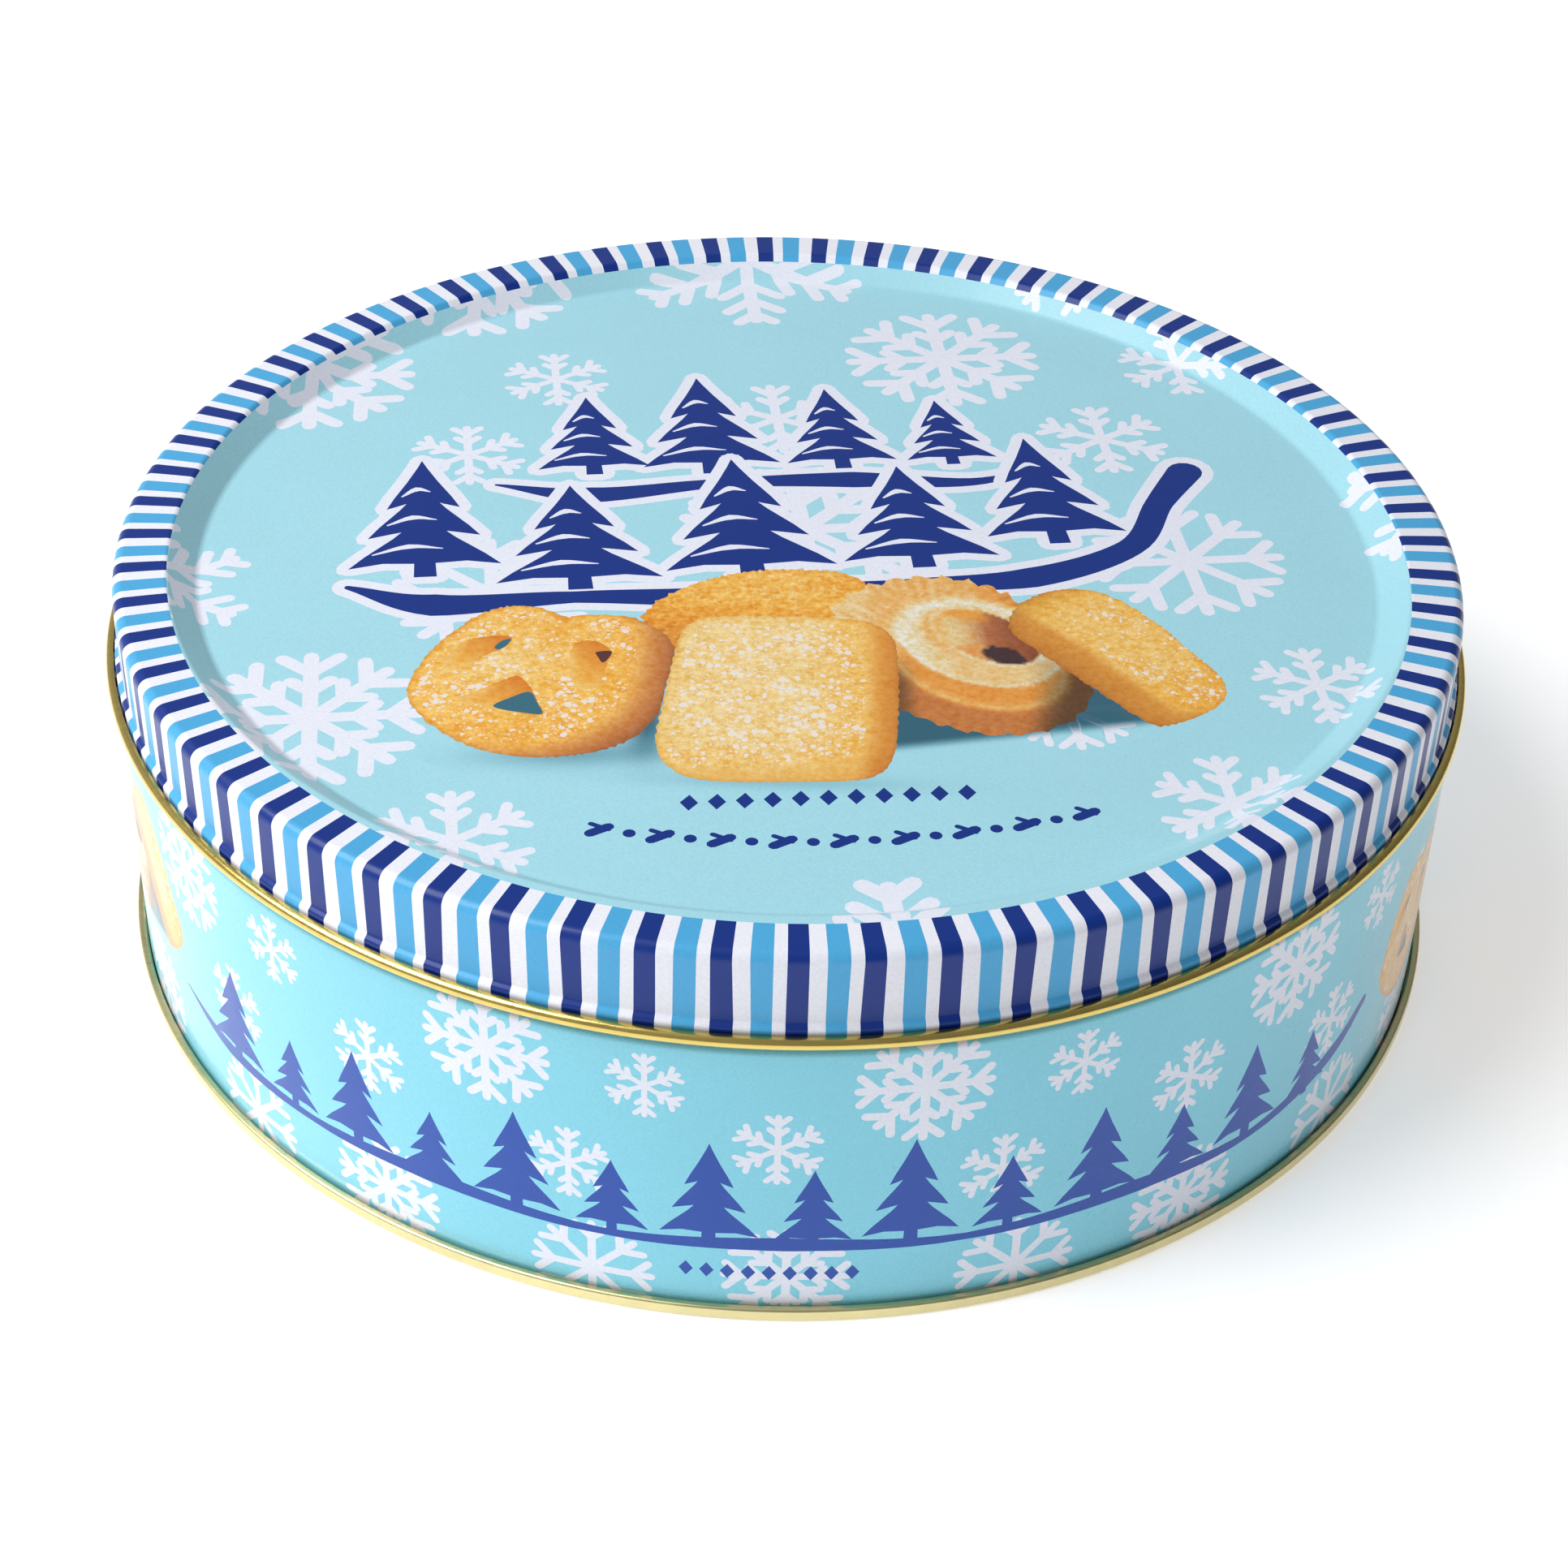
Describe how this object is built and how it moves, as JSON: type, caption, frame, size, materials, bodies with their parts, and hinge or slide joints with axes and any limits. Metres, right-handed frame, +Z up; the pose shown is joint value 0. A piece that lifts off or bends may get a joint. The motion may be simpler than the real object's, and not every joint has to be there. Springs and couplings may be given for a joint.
{
  "type": "cookie tin",
  "caption": "Shallow round tinplate tin with a lift-off slip lid, recessed lid panel, rolled edges and a double-seamed bottom.",
  "frame": {"origin": "centre of the circle that the bottom seam stands on", "axes": "+Z up along the axis of the tin towards the lid, -Y towards the printed front, +X to the right of a viewer who faces the front"},
  "size_m": [0.199, 0.199, 0.06],
  "materials": {
    "printed_lid": "satin printed tinplate",
    "printed_wall": "satin printed tinplate",
    "lacquered_end": "satin gold lacquer on tinplate"
  },
  "bodies": {
    "tin": {"body_wall": "printed_wall", "bottom_end": "lacquered_end"},
    "lid": {"lid": "printed_lid"}
  },
  "joints": [
    {"name": "lid_lift", "type": "slide", "parent": "tin", "child": "lid", "axis": [0, 0, 1], "range_m": [0, 0.1]}
  ]
}
